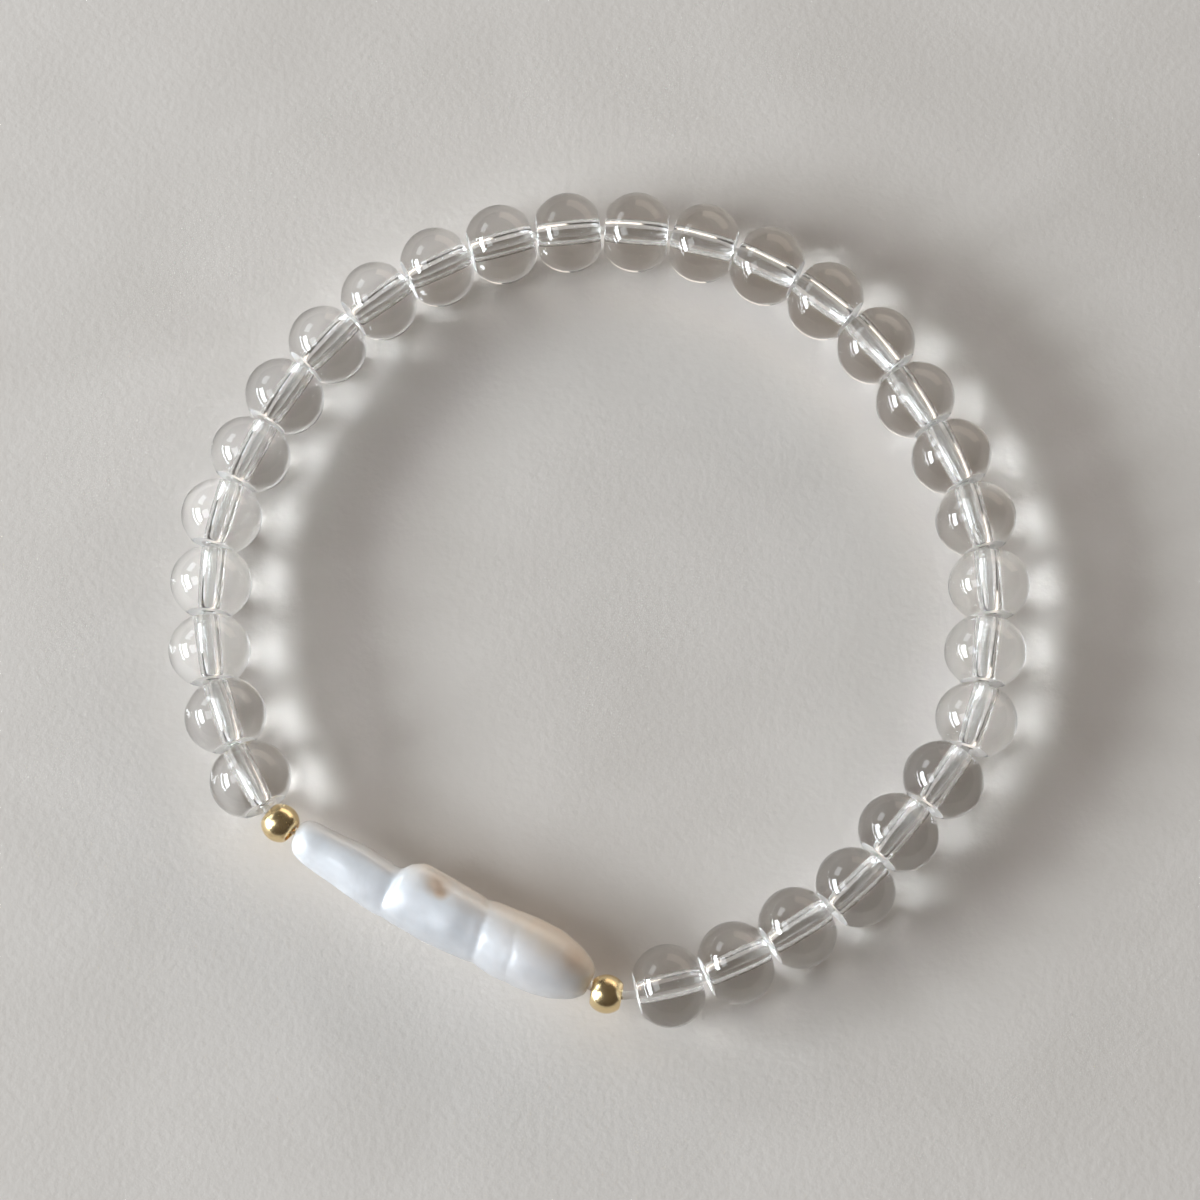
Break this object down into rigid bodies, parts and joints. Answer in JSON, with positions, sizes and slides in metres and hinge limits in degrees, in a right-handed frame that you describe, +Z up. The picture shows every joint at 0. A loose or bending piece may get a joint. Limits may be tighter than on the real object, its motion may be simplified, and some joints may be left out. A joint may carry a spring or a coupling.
{
  "type": "beaded stretch bracelet",
  "caption": "Stretch bracelet of clear round beads on elastic, with a white stick pearl held between small gold beads; worn on the wrist.",
  "frame": {"origin": "middle of the whole bracelet's box, on the surface that it lies on", "axes": "+Z up, through the loop that the hand goes through; -Y towards the stick pearl's side; +X to the right of a viewer who looks along +Y"},
  "size_m": [0.063, 0.0632, 0.006],
  "materials": {
    "crystal": "gloss",
    "gold": "gloss",
    "pearl": "satin",
    "elastic": "satin"
  },
  "bodies": {
    "root": {"crystal_bead_01": "crystal", "crystal_bead_02": "crystal", "crystal_bead_03": "crystal", "crystal_bead_04": "crystal", "crystal_bead_05": "crystal", "crystal_bead_06": "crystal", "crystal_bead_07": "crystal", "crystal_bead_08": "crystal", "crystal_bead_09": "crystal", "crystal_bead_10": "crystal", "crystal_bead_11": "crystal", "crystal_bead_12": "crystal", "crystal_bead_13": "crystal", "crystal_bead_14": "crystal", "crystal_bead_15": "crystal", "crystal_bead_16": "crystal", "crystal_bead_17": "crystal", "crystal_bead_18": "crystal", "crystal_bead_19": "crystal", "crystal_bead_20": "crystal", "crystal_bead_21": "crystal", "crystal_bead_22": "crystal", "crystal_bead_23": "crystal", "crystal_bead_24": "crystal", "crystal_bead_25": "crystal", "crystal_bead_26": "crystal", "crystal_bead_27": "crystal", "crystal_bead_28": "crystal", "crystal_bead_29": "crystal", "gold_bead_left": "gold", "gold_bead_right": "gold", "stick_pearl": "pearl", "elastic_thread": "elastic"}
  },
  "joints": []
}
